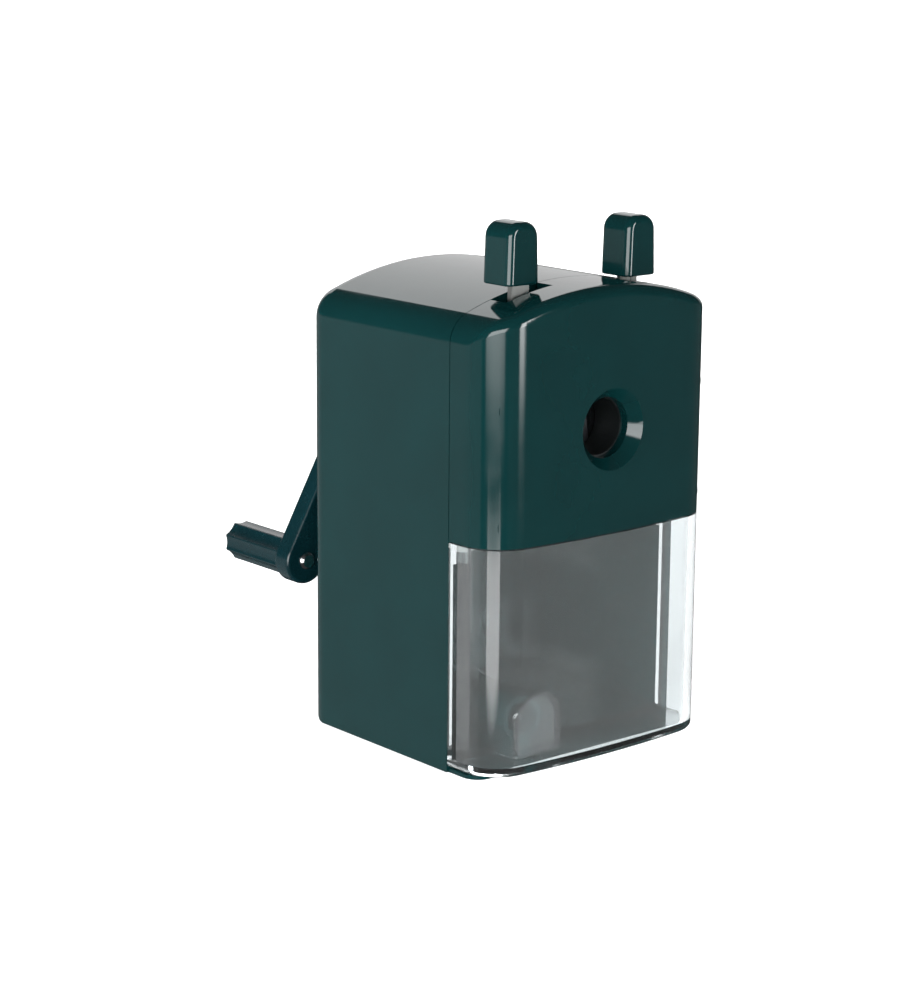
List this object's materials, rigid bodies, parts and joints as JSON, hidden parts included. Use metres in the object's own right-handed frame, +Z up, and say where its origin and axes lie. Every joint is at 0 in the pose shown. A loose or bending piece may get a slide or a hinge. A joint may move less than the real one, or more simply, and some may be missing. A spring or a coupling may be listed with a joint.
{
  "type": "crank pencil sharpener",
  "caption": "Crank-handle desktop pencil sharpener with a crowned glossy housing, a sliding auto-feed head, two finger levers and a clear shavings drawer.",
  "frame": {"origin": "middle of the housing's flat underside, between the rubber pads", "axes": "+Z up, +X to the right seen from the front, +Y from the pencil hole towards the crank"},
  "size_m": [0.062, 0.0974, 0.1128],
  "materials": {
    "green_abs": "polished mould gloss",
    "green_abs_crank": "moulded gloss",
    "clear_styrene": "clear moulded polystyrene",
    "black_rubber": "matt",
    "zinc_plated_sheet": "zinc plated",
    "zinc_casting": "die-cast zinc",
    "tool_steel": "ground tool steel",
    "jaw_steel": "hardened steel",
    "sintered_bronze": "oiled sintered bronze",
    "black_nylon": "moulded nylon",
    "spring_wire": "drawn wire",
    "zinc_screw": "zinc plated",
    "bright_rivet": "bright turned",
    "ground_steel": "ground"
  },
  "bodies": {
    "housing_body": {"feed_spring_left": "spring_wire", "feed_spring_right": "spring_wire", "foot_left_front": "black_rubber", "foot_left_rear": "black_rubber", "foot_right_front": "black_rubber", "foot_right_rear": "black_rubber", "housing": "green_abs", "mechanism_plate": "zinc_plated_sheet", "plate_screw_left_high": "zinc_screw", "plate_screw_left_low": "zinc_screw", "plate_screw_right_high": "zinc_screw", "plate_screw_right_low": "zinc_screw", "rear_bearing": "sintered_bronze", "ring_gear": "zinc_casting", "ring_screw_1": "zinc_screw", "ring_screw_2": "zinc_screw", "ring_screw_3": "zinc_screw", "rod_bush_left": "black_nylon", "rod_bush_right": "black_nylon"},
    "crank": {"cutter_carrier": "zinc_casting", "drive_shaft": "ground_steel", "cutter_axle": "ground_steel", "crank_arm": "green_abs_crank", "crank_screw": "zinc_screw", "knob_rivet": "bright_rivet"},
    "cutter": {"helical_cutter": "tool_steel", "cutter_pinion": "zinc_casting"},
    "knob": {"crank_knob": "green_abs_crank"},
    "head": {"front_cover": "green_abs", "chuck_plate": "zinc_plated_sheet", "front_sleeve": "black_nylon", "rear_sleeve": "black_nylon", "lever_spring": "spring_wire", "guide_rod_left": "ground_steel", "guide_rod_right": "ground_steel", "rod_clip_left": "ground_steel", "rod_clip_right": "ground_steel", "head_screw_left_high": "zinc_screw", "head_screw_left_low": "zinc_screw", "head_screw_right_high": "zinc_screw", "head_screw_right_low": "zinc_screw"},
    "left_lever_body": {"left_lever": "zinc_plated_sheet", "left_cap": "green_abs"},
    "right_lever_body": {"right_lever": "zinc_plated_sheet", "right_cap": "green_abs"},
    "jaw_body_1": {"jaw_1": "jaw_steel"},
    "jaw_body_2": {"jaw_2": "jaw_steel"},
    "jaw_body_3": {"jaw_3": "jaw_steel"},
    "drawer_body": {"drawer": "clear_styrene"}
  },
  "joints": [
    {"name": "crank_turn", "type": "hinge", "parent": "housing_body", "child": "crank", "pos_m": [0, 0.034, 0.0705], "axis": [0, 1, 0], "continuous": true},
    {"name": "cutter_spin", "type": "hinge", "parent": "crank", "child": "cutter", "pos_m": [0, 0.00475, 0.0787], "axis": [0, 0.9833, -0.1822], "continuous": true},
    {"name": "knob_turn", "type": "hinge", "parent": "crank", "child": "knob", "pos_m": [-0.02385, 0.055, 0.03234], "axis": [0, 1, 0], "continuous": true},
    {"name": "head_slide", "type": "slide", "parent": "housing_body", "child": "head", "axis": [0, -1, 0], "range_m": [0, 0.026], "stiffness_N_per_m": 120, "springref_m": -0.03, "deforming": ["feed_spring_left", "feed_spring_right"]},
    {"name": "left_lever_turn", "type": "hinge", "parent": "head", "child": "left_lever_body", "pos_m": [0, -0.0198, 0.0705], "axis": [0, 1, 0], "range_deg": [0, 10], "stiffness_Nm_per_rad": 0.12, "springref_deg": -17.19},
    {"name": "right_lever_turn", "type": "hinge", "parent": "head", "child": "right_lever_body", "pos_m": [0, -0.0172, 0.0705], "axis": [0, 1, 0], "range_deg": [-10, 0]},
    {"name": "jaw_1_turn", "type": "hinge", "parent": "left_lever_body", "child": "jaw_body_1", "pos_m": [0.01057, -0.0185, 0.0766], "axis": [0, 1, 0], "range_deg": [0, 13.8]},
    {"name": "jaw_2_turn", "type": "hinge", "parent": "left_lever_body", "child": "jaw_body_2", "pos_m": [-0.01057, -0.0185, 0.0766], "axis": [0, 1, 0], "range_deg": [0, 13.8]},
    {"name": "jaw_3_turn", "type": "hinge", "parent": "left_lever_body", "child": "jaw_body_3", "pos_m": [0, -0.0185, 0.0583], "axis": [0, 1, 0], "range_deg": [0, 13.8]},
    {"name": "drawer_slide", "type": "slide", "parent": "housing_body", "child": "drawer_body", "axis": [0, -1, 0], "range_m": [0, 0.05]}
  ],
  "couplings": [
    {"joint": "cutter_spin", "follows": "crank_turn", "ratio": -2.6667},
    {"joint": "right_lever_turn", "follows": "left_lever_turn", "ratio": -1},
    {"joint": "jaw_1_turn", "follows": "left_lever_turn", "ratio": 1.37},
    {"joint": "jaw_2_turn", "follows": "left_lever_turn", "ratio": 1.37},
    {"joint": "jaw_3_turn", "follows": "left_lever_turn", "ratio": 1.37}
  ]
}
